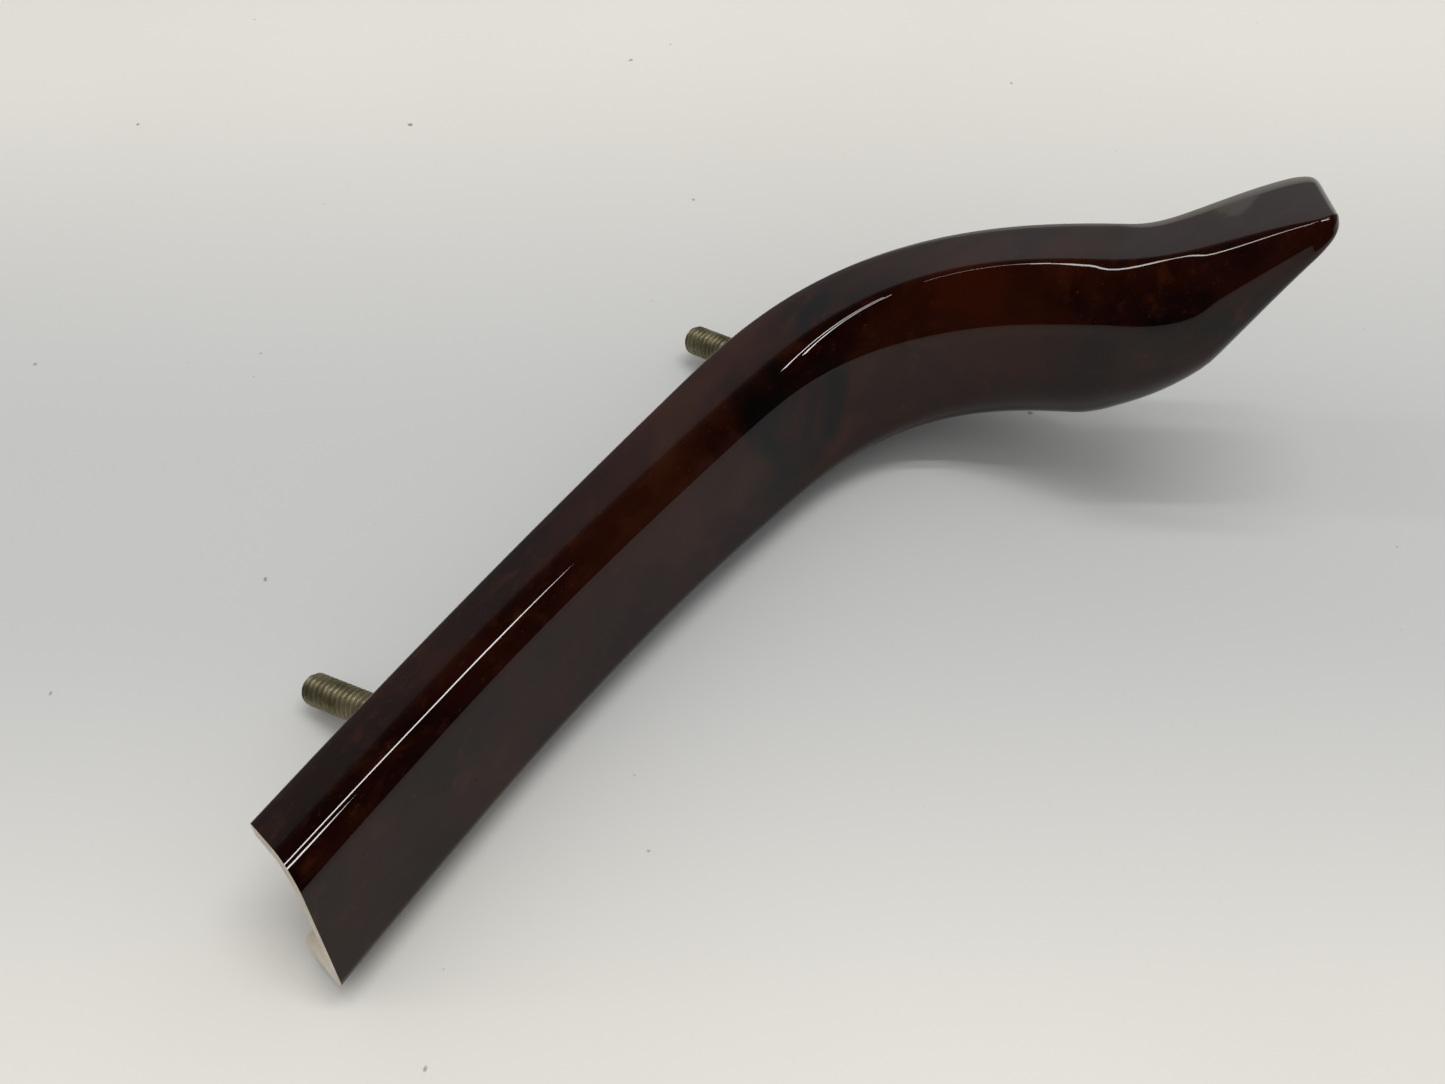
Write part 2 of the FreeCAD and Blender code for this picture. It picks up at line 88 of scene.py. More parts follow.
# ---- limits and steps of the outlines, as the CAD model has them ----
CORNER_SHARE = 0.45      # most of the half height or depth that a shoulder may take
FLAT_SHARE = 0.97        # most of the shoulder's slope that its two bends may take
FOOT_SHARE = 0.6         # most of the half height that the bottom bend may take
RIM_ROOM = 0.5           # most of the half height that a rim's rounding may take
RIM_ARC = 0.98           # keeps a rim's arc just inside its two corners
NOSE_RISE = 0.8          # rounding of the tip's thickness against that of its plan
LAND_SHARE = 0.3         # least half height of the back land where the wall leaves none
PATH_STEP = 0.25
CUT_MARGIN = 30.0        # how far beyond the cut the outlines are followed to find it
CUT_EASE = 45.0          # length over which the mesh rows turn from the mitre to square


def smooth(value, start, end):
    """Share from 0 to 1 that eases in and out between start and end."""
    share = np.clip((np.asarray(value, float) - start) / (end - start), 0.0, 1.0)
    return share * share * (3.0 - 2.0 * share)


def mix(first, last, share):
    return first + (last - first) * share


def taper(value, start, end):
    """Share from 0 to 1 that eases in over its first third and then runs straight."""
    share = np.clip((np.asarray(value, float) - start) / (end - start), 0.0, 1.0)
    return 1.2 * np.where(share < 1 / 3, share * share * 1.5, share - 1 / 6)


# ---- rail geometry at distances along the mounting rim ----

def heading(along):
    """Plan direction of the rail in degrees; zero at the left stud."""
    bow = np.degrees(np.minimum(along, NECK_START) / BOW_RADIUS)
    neck = NECK_TURN * smooth(along, NECK_START, NECK_END)
    return FLARE_TURN * smooth(along, NECK_END, FLARE_END) - neck - bow


def depth(along):
    swell = mix(CHANNEL_DEPTH, GRIP_DEPTH, smooth(along, 0, NECK_END))
    return mix(swell, TIP_DEPTH, smooth(along, NECK_END, GRIP_REACH))


def height(along):
    swell = mix(CHANNEL_HEIGHT, GRIP_HEIGHT, smooth(along, NECK_START / 2, NECK_END))
    return mix(swell, TIP_THICKNESS, taper(along, TAPER_START, GRIP_REACH))


def middle(along):
    top = CHANNEL_HEIGHT / 2 + GRIP_RISE * smooth(along, NECK_START / 2, NECK_END)
    return top + TIP_RISE * smooth(along, NECK_END, GRIP_REACH) - height(along) / 2


def swollen(along, sizes):
    """A size of the section, blended from the straight run to the grip and on to the tip."""
    full = mix(sizes[0], sizes[1], smooth(along, NECK_START, NECK_END))
    return mix(full, sizes[2], taper(along, NECK_END, GRIP_REACH))


def nose_inset(reach, radius, left):
    """How far a quarter-round nose has drawn in, with `left` still to go to its end."""
    gone = np.clip(radius - left, 0.0, radius) / radius
    return reach * (1 - np.sqrt(1 - gone ** 2))


class Path:
    """The rim's centre line, added up in fine steps so that any place on it can be read off."""

    def __init__(self, start, end, step=PATH_STEP):
        self.along = np.arange(start, end + step, step)
        angle = np.radians(heading(self.along))
        steps = np.stack([np.cos(angle), np.sin(angle)], -1) * step
        points = np.vstack([[0, 0], np.cumsum((steps[1:] + steps[:-1]) / 2, axis=0)])
        origin = [np.interp(0.0, self.along, points[:, axis]) for axis in (0, 1)]
        self.points = points - origin

    def rim(self, along):
        return [np.interp(along, self.along, self.points[:, axis]) for axis in (0, 1)]

    def place(self, along, deep, rise):
        """Rail-frame points in metres for (depth, rise) places at distances along the rim."""
        along, deep, rise = np.broadcast_arrays(along, deep, rise)
        x, y = self.rim(along)
        turn = np.radians(heading(along))
        roll = GRIP_ROLL * smooth(along, NECK_START, NECK_END)
        roll = np.radians(roll + TIP_ROLL * smooth(along, NECK_END, GRIP_REACH))
        out = deep * np.cos(roll) + rise * np.sin(roll)
        up = rise * np.cos(roll) - deep * np.sin(roll) + middle(along)
        x = x + out * np.sin(turn)
        y = y - out * np.cos(turn)
        lean = math.radians(LEAN)
        z = up * math.cos(lean) - y * math.sin(lean)
        y = y * math.cos(lean) + up * math.sin(lean)
        return np.stack([x, y, z], -1) * MM


PATH = Path(-CUT_REACH - CUT_MARGIN - 10.0, GRIP_REACH)


# ---- outlines ----

def rounded(corners, radii, arc_counts, run_counts):
    """Open outline through rounded corners; both lists are in step, the first and last corner plain.

    Corners are (depth, rise) pairs of arrays over the stations. Gives an array station x column x 2.
    """
    points = [np.stack(np.broadcast_arrays(*corner), -1) for corner in corners]
    pieces = [points[0]]
    for index in range(1, len(points)):
        last = index == len(points) - 1
        if last:
            start = points[index]
            turn = []
        else:
            before = points[index - 1] - points[index]
            after = points[index + 1] - points[index]
            before /= np.linalg.norm(before, axis=-1, keepdims=True)
            after /= np.linalg.norm(after, axis=-1, keepdims=True)
            half = np.arccos(np.clip((before * after).sum(-1), -1, 1)) / 2
            radius = np.broadcast_to(radii[index], half.shape)
            bisector = before + after
            bisector /= np.linalg.norm(bisector, axis=-1, keepdims=True)
            centre = points[index] + bisector * (radius / np.sin(half))[:, None]
            reach = (radius / np.tan(half))[:, None]
            start = points[index] + before * reach
            sweep = (math.pi - 2 * half)[:, None]
            first, final = start - centre, points[index] + after * reach - centre
            shares = np.linspace(0, 1, arc_counts[index])
            turn = [centre + (np.sin((1 - t) * sweep) * first + np.sin(t * sweep) * final) / np.sin(sweep)
                    for t in shares]
        count = run_counts[index - 1]
        straight = [mix(pieces[-1], start, (step + 1) / (count + 1)) for step in range(count)]
        pieces += straight + (turn if not last else [start])
    return np.stack(pieces, 1)


def shoulder_corners(along, deep, half, inset):
    """The shoulder's lower and upper corners with their radii, for a face drawn in by an inset."""
    drop = swollen(along, SHOULDER_DROP)
    back = swollen(along, SHOULDER_DEPTH)
    share = np.minimum(1.0, np.minimum(CORNER_SHARE * half / drop, CORNER_SHARE * deep / back))
    slope = np.arctan2(back, drop)
    span = share * np.hypot(back, drop)
    crease = np.maximum(swollen(along, CREASE_RADIUS) - inset, RIM_RADIUS / 2)
    crease = np.minimum(crease, CORNER_SHARE * span / np.tan((math.pi / 2 - slope) / 2))
    bend = (FLAT_SHARE * span - crease * np.tan((math.pi / 2 - slope) / 2)) / np.tan(slope / 2)
    return (deep, half - share * drop), (deep - share * back, half), bend, crease


def section_sides(along):
    """Back edge, front depth and half height of the outside, drawn in round the tip's end."""
    left = GRIP_REACH - along
    side = nose_inset(TIP_CORNER, TIP_CORNER, left)
    half = height(along) / 2 - nose_inset(TIP_NOSE * NOSE_RISE, TIP_NOSE, left)
    foot = FOOT_SETBACK * (1 - smooth(along, STUD_SPACING / 2, STUD_SPACING)) + side
    return side, foot, depth(along) - side, half


def outer_outline(along):
    """From the top rim over the front to the bottom rim."""
    side, foot, deep, half = section_sides(along)
    low, high, bend, crease = shoulder_corners(along, deep, half, 0.0)
    under = np.minimum(swollen(along, FOOT_RADIUS), FOOT_SHARE * half)
    rim = np.minimum(RIM_RADIUS, RIM_ROOM * half)
    corners = [(side, half - rim), (side, half), high, low, (deep, -half), (foot, -half), (foot, rim - half)]
    radii = [0, rim * RIM_ARC, crease, bend, under, rim * RIM_ARC, 0]
    return rounded(corners, radii, [0, 5, 14, 18, 16, 5, 0], [0, 5, 2, 8, 5, 0])


def back_line(along, share):
    """Places on the straight back edge of the section, from its foot to its top."""
    side, foot, deep, half = section_sides(along)
    rise = np.maximum(half - WALL, half * LAND_SHARE) * share
    return mix(foot, side, (rise / half + 1) / 2), rise


def inner_outline(along):
    half = height(along) / 2 - WALL
    deep = depth(along) - WALL
    low, high, bend, crease = shoulder_corners(along, deep, half, WALL)
    under = np.maximum(RIM_RADIUS / 2, np.minimum(swollen(along, FOOT_RADIUS) - WALL, FOOT_SHARE * half))
    corners = [back_line(along, 1.0), high, low, (deep, -half), back_line(along, -1.0)]
    return rounded(corners, [0, crease, bend, under, 0], [0, 8, 10, 9, 0], [4, 2, 6, 4])


# ---- mesh helpers ----

def new_object(name, vertices, faces, materials, face_slots=None, sharp=35.0):
    """Mesh object with smooth faces and sharp edges past an angle."""
    mesh = bpy.data.meshes.new(name)
    mesh.from_pydata([tuple(v) for v in vertices], [], [tuple(int(i) for i in f) for f in faces])
    for material in materials:
        mesh.materials.append(material)
    if face_slots is not None:
        mesh.polygons.foreach_set("material_index", np.asarray(face_slots, np.int32))
    mesh.shade_smooth()
    mesh.set_sharp_from_angle(angle=math.radians(sharp))
    mesh.validate()
    mesh.update()
    piece = bpy.data.objects.new(name, mesh)
    bpy.context.scene.collection.objects.link(piece)
    return piece


def strip(index, rows, columns):
    """Quads between neighbouring rows and columns of a grid of vertex numbers."""
    return [(index[row][col], index[row][col + 1], index[row + 1][col + 1], index[row + 1][col])
            for row in range(rows - 1) for col in range(columns - 1)]


# ---- node trees ----

class Nodes:
    """Short calls for a material's node tree."""

    def __init__(self, name):
        self.material = bpy.data.materials.new(name)
        self.material.use_nodes = True
        self.tree = self.material.node_tree
        self.shader = self.tree.nodes["Principled BSDF"]
        self.place = self.add("ShaderNodeTexCoord").outputs["Object"]

    def add(self, kind, **settings):
        node = self.tree.nodes.new(kind)
        for name, value in settings.items():
            setattr(node, name, value)
        return node

    def link(self, source, target):
        self.tree.links.new(source, target)

    def set(self, **values):
        for name, value in values.items():
            self.shader.inputs[name.replace("_", " ")].default_value = value

    def stretched(self, scale, turn=0.0):
        node = self.add("ShaderNodeMapping")
        node.inputs["Scale"].default_value = scale
        node.inputs["Rotation"].default_value = (0.0, 0.0, math.radians(turn))
        self.link(self.place, node.inputs["Vector"])
        return node.outputs["Vector"]

    def noise(self, vector, scale, detail=4.0, rough=0.5, distortion=0.0):
        node = self.add("ShaderNodeTexNoise")
        self.link(vector, node.inputs["Vector"])
        node.inputs["Scale"].default_value = scale
        node.inputs["Detail"].default_value = detail
        node.inputs["Roughness"].default_value = rough
        node.inputs["Distortion"].default_value = distortion
        return node.outputs["Fac"]

    def ramp(self, value, stops, ease="EASE"):
        node = self.add("ShaderNodeValToRGB")
        node.color_ramp.interpolation = ease
        while len(node.color_ramp.elements) < len(stops):
            node.color_ramp.elements.new(0.5)
        for element, (position, colour) in zip(node.color_ramp.elements, stops):
            element.position = position
            element.color = (*colour, 1.0) if len(colour) == 3 else colour
        self.link(value, node.inputs["Fac"])
        return node.outputs["Color"]

    def level(self, value, low, high):
        """0 below low, 1 above high."""
        node = self.add("ShaderNodeMapRange", interpolation_type="SMOOTHSTEP")
        self.link(value, node.inputs["Value"])
        node.inputs["From Min"].default_value = low
        node.inputs["From Max"].default_value = high
        return node.outputs["Result"]

    def blend(self, share, first, last, mode="MIX"):
        node = self.add("ShaderNodeMix", data_type="RGBA", blend_type=mode)
        for socket, value in ((node.inputs[0], share), (node.inputs[6], first), (node.inputs[7], last)):
            if isinstance(value, (tuple, float)):
                socket.default_value = value if isinstance(value, float) else (*value, 1.0)
            else:
                self.link(value, socket)
        return node.outputs[2]

    def sum(self, first, last, operation="ADD"):
        node = self.add("ShaderNodeMath", operation=operation)
        for socket, value in zip(node.inputs, (first, last)):
            if isinstance(value, float):
                socket.default_value = value
            else:
                self.link(value, socket)
        return node.outputs[0]

    def warped(self, scale, reach):
        """Object coordinates pushed about by noise, up to `reach` metres."""
        noise = self.add("ShaderNodeTexNoise")
        self.link(self.place, noise.inputs["Vector"])
        noise.inputs["Scale"].default_value = scale
        noise.inputs["Detail"].default_value = 5.0
        push = self.add("ShaderNodeVectorMath", operation="MULTIPLY_ADD")
        self.link(noise.outputs["Color"], push.inputs[0])
        push.inputs[1].default_value = [2 * reach] * 3
        push.inputs[2].default_value = [-reach] * 3
        moved = self.add("ShaderNodeVectorMath", operation="ADD")
        self.link(self.place, moved.inputs[0])
        self.link(push.outputs["Vector"], moved.inputs[1])
        return moved.outputs["Vector"]

    def spot(self, vector, centre, size):
        """1 well within `size` millimetres of a place, fading out beyond it."""
        far = self.add("ShaderNodeVectorMath", operation="DISTANCE")
        self.link(vector, far.inputs[0])
        far.inputs[1].default_value = [value * MM for value in centre]
        return self.level(far.outputs["Value"], size * MM * 1.3, size * MM * 0.3)

    def bump(self, value, strength, distance, target="Normal"):
        node = self.add("ShaderNodeBump")
        node.inputs["Strength"].default_value = strength
        node.inputs["Distance"].default_value = distance
        self.link(value, node.inputs["Height"])
        self.link(node.outputs["Normal"], self.shader.inputs[target])


# Larger dark and red patches of the burl: centre, size, colour.
BURL_EYES = (
    ((86.8, -16.7, 16.7), 8.0, (0.0024, 0.0016, 0.0015)),
    ((85.0, -19.7, 6.0), 8.0, (0.0024, 0.0016, 0.0015)),
    ((122.6, -44.0, 26.0), 17.0, (0.0230, 0.0042, 0.0014)),
    ((73.5, -16.8, 8.0), 9.0, (0.0260, 0.0100, 0.0055)),
    ((129.6, -72.3, 35.0), 6.0, (0.0020, 0.0010, 0.0008)),
)


def lacquered_burl():
    """Dark reddish burl print under a high-gloss clear coat with a slight orange peel."""
    n = Nodes("lacquered_burl")
    grain = n.stretched((1.0, 1.7, 1.7), 12)
    clouds = n.noise(grain, 24.0, 4.0, 0.5, 0.6)
    mottle = n.noise(grain, 140.0, 4.0, 0.6, 0.4)
    specks = n.noise(grain, 620.0, 3.0, 0.6)
    blots = n.noise(grain, 15.0, 3.0, 0.5, 1.4)
    colour = n.ramp(clouds, [(0.30, (0.0026, 0.0010, 0.0008)), (0.44, (0.0080, 0.0016, 0.0010)),
                             (0.58, (0.0155, 0.0030, 0.0013)), (0.72, (0.0260, 0.0070, 0.0030))])
    colour = n.blend(n.level(mottle, 0.50, 0.78), colour, (0.026, 0.0062, 0.0024))
    colour = n.blend(n.level(specks, 0.62, 0.84), colour, (0.045, 0.0140, 0.0050))
    colour = n.blend(n.level(blots, 0.66, 0.74), colour, (0.0026, 0.0018, 0.0016))
    ragged = n.warped(75.0, 0.016)
    for centre, size, tint in BURL_EYES:
        colour = n.blend(n.spot(ragged, centre, size), colour, tint)
    n.link(colour, n.shader.inputs["Base Color"])
    n.set(Roughness=0.42, Specular_IOR_Level=0.0)
    n.set(Coat_Weight=1.0, Coat_Roughness=0.02, Coat_IOR=1.39)
    peel = n.noise(n.place, 260.0, 2.0, 0.4)
    n.bump(peel, 0.05, 0.00005, "Coat Normal")
    return n.material


def bare_plastic():
    """Cream moulding plastic of the cut edge and the inside."""
    n = Nodes("bare_plastic")
    stains = n.noise(n.place, 90.0, 5.0, 0.6)
    fine = n.noise(n.place, 900.0, 3.0, 0.6)
    colour = n.ramp(stains, [(0.3, (0.46, 0.40, 0.31)), (0.7, (0.66, 0.61, 0.52))])
    n.link(colour, n.shader.inputs["Base Color"])
    n.set(Roughness=0.62)
    n.bump(fine, 0.25, 0.0001)
    return n.material


def plated(name, light, dark, rough):
    """Zinc-plated steel with dull patches and fine scratches."""
    n = Nodes(name)
    patches = n.noise(n.place, 240.0, 5.0, 0.65)
    colour = n.ramp(patches, [(0.32, dark), (0.68, light)])
    n.link(colour, n.shader.inputs["Base Color"])
    n.set(Metallic=0.85)
    fine = n.noise(n.stretched((1.0, 1.0, 6.0)), 1600.0, 3.0, 0.6)
    wear = n.add("ShaderNodeMapRange")
    n.link(patches, wear.inputs["Value"])
    wear.inputs["To Min"].default_value = rough - 0.1
    wear.inputs["To Max"].default_value = rough + 0.12
    n.link(wear.outputs["Result"], n.shader.inputs["Roughness"])
    n.bump(fine, 0.12, 0.00004)
    return n.material


def moulded(name, light, dark, rough, grain):
    """Matt moulded plastic or resin with a fine texture."""
    n = Nodes(name)
    clouds = n.noise(n.place, 70.0, 5.0, 0.6)
    n.link(n.ramp(clouds, [(0.3, dark), (0.7, light)]), n.shader.inputs["Base Color"])
    n.set(Roughness=rough)
    n.bump(n.noise(n.place, grain, 2.0, 0.5), 0.35, 0.00012)
    return n.material


BURL = lacquered_burl()
CREAM = bare_plastic()
OLIVE = plated("olive_zinc", (0.36, 0.32, 0.20), (0.17, 0.15, 0.09), 0.42)
ZINC = plated("clear_zinc", (0.62, 0.62, 0.60), (0.38, 0.38, 0.38), 0.36)
BLACK = moulded("moulded_black", (0.030, 0.027, 0.026), (0.016, 0.015, 0.015), 0.5, 1400.0)
RESIN = moulded("cast_resin", (0.60, 0.54, 0.42), (0.46, 0.40, 0.30), 0.6, 500.0)
OXIDE = plated("black_oxide", (0.06, 0.06, 0.06), (0.025, 0.025, 0.026), 0.4)


# ---- lacquered shell ----

def mitre_start(outline, along):
    """Distance along the rim at which each outline column meets the mitred cut."""
    plan = math.radians(heading(-CUT_REACH) - MITRE_PLAN)
    rake = math.radians(MITRE_RISE)
    flat = Vector((math.cos(plan) * math.cos(rake), math.sin(plan) * math.cos(rake), -math.sin(rake)))
    normal = np.array(Matrix.Rotation(math.radians(-LEAN), 3, "X") @ flat)
    centre = Matrix.Rotation(math.radians(-LEAN), 3, "X") @ Vector((*PATH.rim(-CUT_REACH), 0)) * MM
    gaps = (PATH.place(along[:, None], outline[..., 0], outline[..., 1]) - np.array(centre)) @ normal
    return np.array([np.interp(0.0, gap, along) for gap in gaps.T])


def skin_grid(outline, rows):
    """Grid of points over a surface, its rows slanted to the cut end and square further on."""
    probe = np.arange(-CUT_REACH - CUT_MARGIN, 0.0, PATH_STEP)
    starts = mitre_start(outline(probe), probe)
    ease = (1 - smooth(rows, rows[0], rows[0] + CUT_EASE))[:, None]
    along = rows[:, None] + (starts[None, :] - rows[0]) * ease
    grid = np.empty((len(rows), len(starts), 3))
    for col in range(len(starts)):
        section = outline(along[:, col])[:, col]
        grid[:, col] = PATH.place(along[:, col], section[:, 0], section[:, 1])
    return grid


def build_shell():
    """One closed shell: lacquered outside and on its rims, bare plastic inside and at the cut."""
    nose = GRIP_REACH - TIP_CORNER * (1 - np.sin(np.radians(np.linspace(0, 89.5, 16))))
    body = np.linspace(-CUT_REACH, CAVITY_END, 191)
    tip = np.linspace(CAVITY_END, nose[0], 17)[1:-1]
    rows = np.concatenate([body, tip, nose])
    outer = skin_grid(outer_outline, rows)
    inner = skin_grid(inner_outline, body)
    late = np.concatenate([tip, nose])
    back = np.stack([PATH.place(late, *back_line(late, share)) for share in (1.0, -1.0)], 1)
    vertices = np.vstack([outer.reshape(-1, 3), inner.reshape(-1, 3), back.reshape(-1, 3)])
    out = np.arange(outer.shape[0] * outer.shape[1]).reshape(outer.shape[:2])
    inn = out.size + np.arange(inner.shape[0] * inner.shape[1]).reshape(inner.shape[:2])
    bak = out.size + inn.size + np.arange(len(late) * 2).reshape(-1, 2)
    edge = len(body) - 1
    top = np.concatenate([inn[:, 0], bak[:, 0]])
    bottom = np.concatenate([inn[:, -1], bak[:, 1]])
    lacquer = strip(out, len(rows), out.shape[1])
    back_rows = np.stack([top, bottom], 1)[edge:]
    lacquer += [face[::-1] for face in strip(back_rows, len(back_rows), 2)]
    lands = np.stack([out[:, 0], top], 1)
    feet = np.stack([out[:, -1], bottom], 1)
    rims = [face[::-1] for face in strip(lands, len(rows), 2)] + strip(feet, len(rows), 2)
    lacquer += [tuple(out[-1][::-1]) + (top[-1], bottom[-1])]
    bare = [face[::-1] for face in strip(inn, len(body), inn.shape[1])]
    bare += [tuple(inn[-1])]
    bare += cut_end_faces(out[0], inn[0], outer[0], inner[0])
    faces = lacquer + rims + bare
    slots = [0] * (len(lacquer) + len(rims)) + [1] * len(bare)
    return new_object("lacquered_shell", vertices, faces, [BURL, CREAM], slots)


def cut_end_faces(out, inn, outer, inner):
    """Triangles across the wall at the mitred cut, stepping along both outlines together."""
    faces = []
    out_share = np.concatenate([[0], np.cumsum(np.linalg.norm(np.diff(outer, axis=0), axis=1))])
    inn_share = np.concatenate([[0], np.cumsum(np.linalg.norm(np.diff(inner, axis=0), axis=1))])
    out_share = out_share / out_share[-1]
    inn_share = inn_share / inn_share[-1]
    a = b = 0
    while a < len(out) - 1 or b < len(inn) - 1:
        step_out = b == len(inn) - 1 or (a < len(out) - 1 and out_share[a + 1] <= inn_share[b + 1])
        if step_out:
            faces.append((out[a], inn[b], out[a + 1]))
            a += 1
        else:
            faces.append((out[a], inn[b], inn[b + 1]))
            b += 1
    return faces


shell = build_shell()
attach(shell, "root")
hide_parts("rail_shell")

# ---- threaded studs ----
STUD_RADIUS, NECK_RADIUS, THREAD_PITCH = 3.175, 3.0, 1.27
THREAD_DEPTH = 0.69
STUD_REACH, NECK_REACH = 28.5, -0.5
HEAD_SEAT, HEAD_HEIGHT, HEAD_FLATS = -8.35, 3.0, 11.1
CHAMFER = 0.9
HEAD_CROWN = ((0.0, 4.9), (0.02, 5.2), (0.4, 5.75), (0.8, 6.3), (1.2, 6.5))   # height, reach
HEAD_REACH = 6.5
AROUND = 72              # vertices round the stud
RINGS_PER_TURN = 14
CREST, FLANKS = 0.12, 0.76   # shares of a thread's half pitch


def stud_rings():
    """Ring heights along the stud with a radius for every angle."""
    angles = np.linspace(0, 2 * math.pi, AROUND, endpoint=False)
    hexagon = HEAD_FLATS / 2 / np.cos((angles + math.pi / 6) % (math.pi / 3) - math.pi / 6)
    circle = np.ones_like(angles)
    rings = []
    low = HEAD_SEAT - HEAD_HEIGHT
    for rise, reach in HEAD_CROWN:
        rings.append((low + rise, np.minimum(hexagon, reach)))
    rings.append((HEAD_SEAT, np.minimum(hexagon, HEAD_REACH)))
    rings.append((HEAD_SEAT, circle * NECK_RADIUS))
    rings.append((NECK_REACH, circle * NECK_RADIUS))
    for level in np.arange(NECK_REACH, STUD_REACH, THREAD_PITCH / RINGS_PER_TURN):
        phase = (level / THREAD_PITCH - angles / (2 * math.pi)) % 1.0
        groove = np.clip((np.abs(phase - 0.5) * 2 - CREST) / FLANKS, 0, 1)
        shallow = min(1.0, max(0.05, (level - NECK_REACH) / THREAD_PITCH))
        radius = STUD_RADIUS - THREAD_DEPTH * groove * shallow
        rings.append((level, np.minimum(radius, STUD_RADIUS - CHAMFER + STUD_REACH - level)))
    rings.append((STUD_REACH, circle * (STUD_RADIUS - CHAMFER)))
    return angles, rings


def add_stud(node):
    """Rolled-thread stud that stands in for the plain CAD one."""
    mount = next(m for m in frame["record"]["mounts"] if m["name"] == node)
    axis = Vector(mount["axis"]).normalized()
    turn = Vector((0, 0, 1)).rotation_difference(axis).to_matrix()
    angles, rings = stud_rings()
    around = np.stack([np.cos(angles), np.sin(angles)], -1)
    points = [np.column_stack([around * radius[:, None], np.full(len(angles), level)])
              for level, radius in rings]
    ends = np.array([[0, 0, rings[0][0]], [0, 0, rings[-1][0]]])
    vertices = np.vstack([*points, ends]) @ np.array(turn).T * MM + np.array(mount["pos_m"])
    count = len(angles)
    faces = []
    for row in range(len(rings) - 1):
        for col in range(count):
            after = (col + 1) % count
            faces.append((row * count + col, row * count + after,
                          (row + 1) * count + after, (row + 1) * count + col))
    last = (len(rings) - 1) * count
    faces += [(col, len(vertices) - 2, (col + 1) % count) for col in range(count)]
    faces += [(last + col, last + (col + 1) % count, len(vertices) - 1) for col in range(count)]
    piece = new_object("threaded_" + node, vertices, faces, [OLIVE], sharp=50.0)
    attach(piece, "root")
    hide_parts(node)


add_stud("left_stud")
add_stud("right_stud")

# ---- carried-over CAD pieces ----
FINISHES = {
    "grip_back_cover": BLACK, "stiffener_bar": ZINC, "left_anchor_block": RESIN,
    "right_anchor_block": RESIN, "grip_anchor_block": RESIN,
    "stud_washers": ZINC, "stud_lock_nuts": OLIVE, "bar_screws": ZINC, "cover_screws": OXIDE,
    "cover_spacers": ZINC,
}
for node, material in FINISHES.items():
    NODES[node].data.materials.clear()
    NODES[node].data.materials.append(material)

# ---- studio ----
VIEW_TURN = -56.33     # the camera looks along this azimuth, measured from +Y
VIEW_DROP = 51.0       # degrees the camera looks down
FRAME_ANGLE = 48.6     # horizontal angle of view
STAND_OFF = 302.0 * MM
AIM = Vector((63.5, -21.1, 0.8)) * MM
GLOW = 0.60            # strength of the even light from all round
WALL_GREYS = ((0.0, 0.27), (0.34, 0.25), (0.54, 0.08), (0.80, 0.02))   # height, grey as mirrored
TABLE_HALF = 1.6       # metres
# Painted shade: a band across the table top is darkened in its colour to stand in for shade; no light casts
# it.
TABLE_SHADE_BAND = ((-0.12, 0.00), (0.20, 0.03))   # metres away from the aim: fade in, fade out
SHADE_BAND_SHARE = 0.9
TUBE_WHITE = (1.0, 0.99, 0.97)
TUBES = (              # name, place seen by the camera and size in metres, power in watts
    ("near_tube_1", (0.225, 0.0, 1.6), (1.05, 0.05), 5.0),
    ("near_tube_2", (0.225, 0.22, 1.6), (1.05, 0.05), 5.0),
    ("far_tube", (-1.75, 0.12, 1.6), (2.5, 0.05), 6.5),
)
floor_level = min(Vector(cad_bounds[0]).z, Vector(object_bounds()[0]).z)


def studio(right, away, up):
    """Rail-frame place from one given as seen by the camera, about the aim point on the floor."""
    turn = Matrix.Rotation(math.radians(VIEW_TURN), 3, "Z")
    return turn @ Vector((right, away, up)) + Vector((AIM.x, AIM.y, floor_level))


def add_camera():
    data = bpy.data.cameras.new("camera")
    data.sensor_fit = "HORIZONTAL"
    data.angle = math.radians(FRAME_ANGLE)
    data.clip_start = 0.01
    camera = bpy.data.objects.new("camera", data)
    turn = Matrix.Rotation(math.radians(VIEW_TURN), 4, "Z")
    tilt = Matrix.Rotation(math.radians(90 - VIEW_DROP), 4, "X")
    away = (turn @ tilt) @ Vector((0, 0, 1))
    camera.matrix_world = Matrix.Translation(AIM + away * STAND_OFF) @ turn @ tilt
    bpy.context.scene.collection.objects.link(camera)
    bpy.context.scene.camera = camera


def add_floor():
    """Pale table top with faint mottling, a darker band of painted shade across it and a few specks."""
    n = Nodes("pale_table")
    clouds = n.noise(n.place, 6.0, 4.0, 0.5)
    colour = n.ramp(clouds, [(0.35, (0.725, 0.71, 0.66)), (0.65, (0.75, 0.735, 0.69))])
    turned = n.add("ShaderNodeSeparateXYZ")
    n.link(n.stretched((1.0, 1.0, 1.0), -VIEW_TURN), turned.inputs[0])
    shade_band_edges = [n.level(turned.outputs["Y"], *edges) for edges in TABLE_SHADE_BAND]
    painted_shade_band = n.sum(*shade_band_edges, "MULTIPLY")
    # Painted shade: the band darkens the table colour towards grey.
    colour = n.blend(n.sum(painted_shade_band, SHADE_BAND_SHARE, "MULTIPLY"), colour, (0.51, 0.52, 0.53))
    specks = n.noise(n.place, 260.0, 1.0, 0.3)
    colour = n.blend(n.level(specks, 0.80, 0.84), colour, (0.30, 0.28, 0.24))
    n.link(colour, n.shader.inputs["Base Color"])
    n.set(Roughness=0.55)
    corners = [(x * TABLE_HALF, y * TABLE_HALF, 0) for x, y in ((-1, -1), (1, -1), (1, 1), (-1, 1))]
    table = new_object("table", corners, [(0, 1, 2, 3)], [n.material])
    table.location = (AIM.x, AIM.y, floor_level)


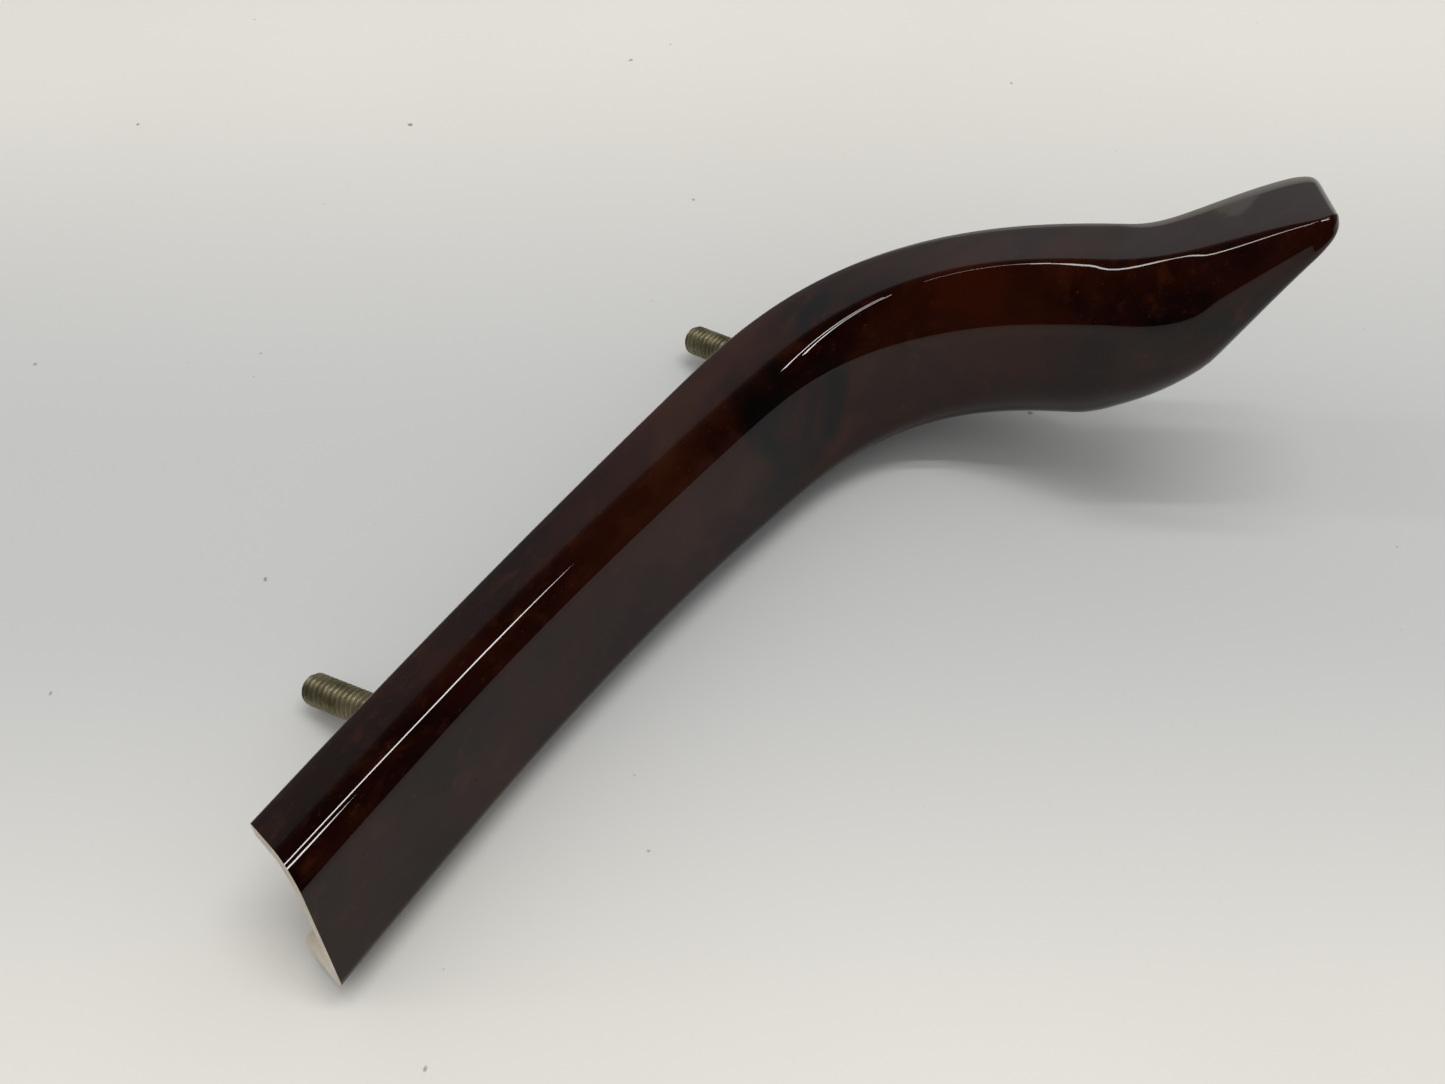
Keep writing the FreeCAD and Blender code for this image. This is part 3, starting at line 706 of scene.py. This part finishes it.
def add_area(name, place, size, power, colour, mirrored=True):
    """Rectangular light that faces the aim point from a place seen by the camera."""
    data = bpy.data.lights.new(name, "AREA")
    data.shape = "RECTANGLE"
    data.size, data.size_y = size
    data.energy = power
    data.color = colour
    light = bpy.data.objects.new(name, data)
    spot = studio(*place)
    aim = (spot - studio(0, 0, 0)).normalized()
    side = Matrix.Rotation(math.radians(VIEW_TURN), 3, "Z") @ Vector((1, 0, 0))
    across = aim.cross(side).normalized()
    side = across.cross(aim)
    rotation = Matrix((side, across, aim)).transposed().to_4x4()
    light.matrix_world = Matrix.Translation(spot) @ rotation
    light.visible_glossy = mirrored
    bpy.context.scene.collection.objects.link(light)


def add_world():
    """Dim room as the lacquer mirrors it, with a brighter even glow for the diffuse light."""
    world = bpy.data.worlds.new("room")
    world.use_nodes = True
    tree = world.node_tree
    mirrored = tree.nodes["Background"]
    glow = tree.nodes.new("ShaderNodeBackground")
    glow.inputs["Color"].default_value = (1.0, 0.99, 0.97, 1)
    glow.inputs["Strength"].default_value = GLOW
    place = tree.nodes.new("ShaderNodeTexCoord")
    turned = tree.nodes.new("ShaderNodeMapping")
    turned.vector_type = "VECTOR"
    turned.inputs["Rotation"].default_value = (0, 0, math.radians(-VIEW_TURN))
    split = tree.nodes.new("ShaderNodeSeparateXYZ")
    ramp = tree.nodes.new("ShaderNodeValToRGB")
    ahead = tree.nodes.new("ShaderNodeMapRange")
    ahead.interpolation_type = "SMOOTHSTEP"
    ahead.inputs["From Min"].default_value = -0.1
    ahead.inputs["From Max"].default_value = 0.5
    ahead.inputs["To Min"].default_value = 0.08
    tree.links.new(place.outputs["Generated"], turned.inputs["Vector"])
    tree.links.new(turned.outputs["Vector"], split.inputs["Vector"])
    tree.links.new(split.outputs["Z"], ramp.inputs["Fac"])
    tree.links.new(split.outputs["Y"], ahead.inputs["Value"])
    tree.links.new(ramp.outputs["Color"], mirrored.inputs["Color"])
    tree.links.new(ahead.outputs["Result"], mirrored.inputs["Strength"])
    while len(ramp.color_ramp.elements) < len(WALL_GREYS):
        ramp.color_ramp.elements.new(0.5)
    for element, (position, grey) in zip(ramp.color_ramp.elements, WALL_GREYS):
        element.position = position
        element.color = (grey, grey, grey, 1)
    rays = tree.nodes.new("ShaderNodeLightPath")
    both = tree.nodes.new("ShaderNodeMixShader")
    tree.links.new(rays.outputs["Is Diffuse Ray"], both.inputs["Fac"])
    tree.links.new(mirrored.outputs[0], both.inputs[1])
    tree.links.new(glow.outputs[0], both.inputs[2])
    tree.links.new(both.outputs[0], tree.nodes["World Output"].inputs["Surface"])
    bpy.context.scene.world = world


add_camera()
add_floor()
add_world()
add_area("soft_top", (0.1, 0.2, 1.5), (3.2, 3.2), 4.0, (1.0, 0.985, 0.95), mirrored=False)
for name, place, size, power in TUBES:
    add_area(name, place, size, power, TUBE_WHITE)
bpy.context.scene.view_settings.view_transform = "Standard"
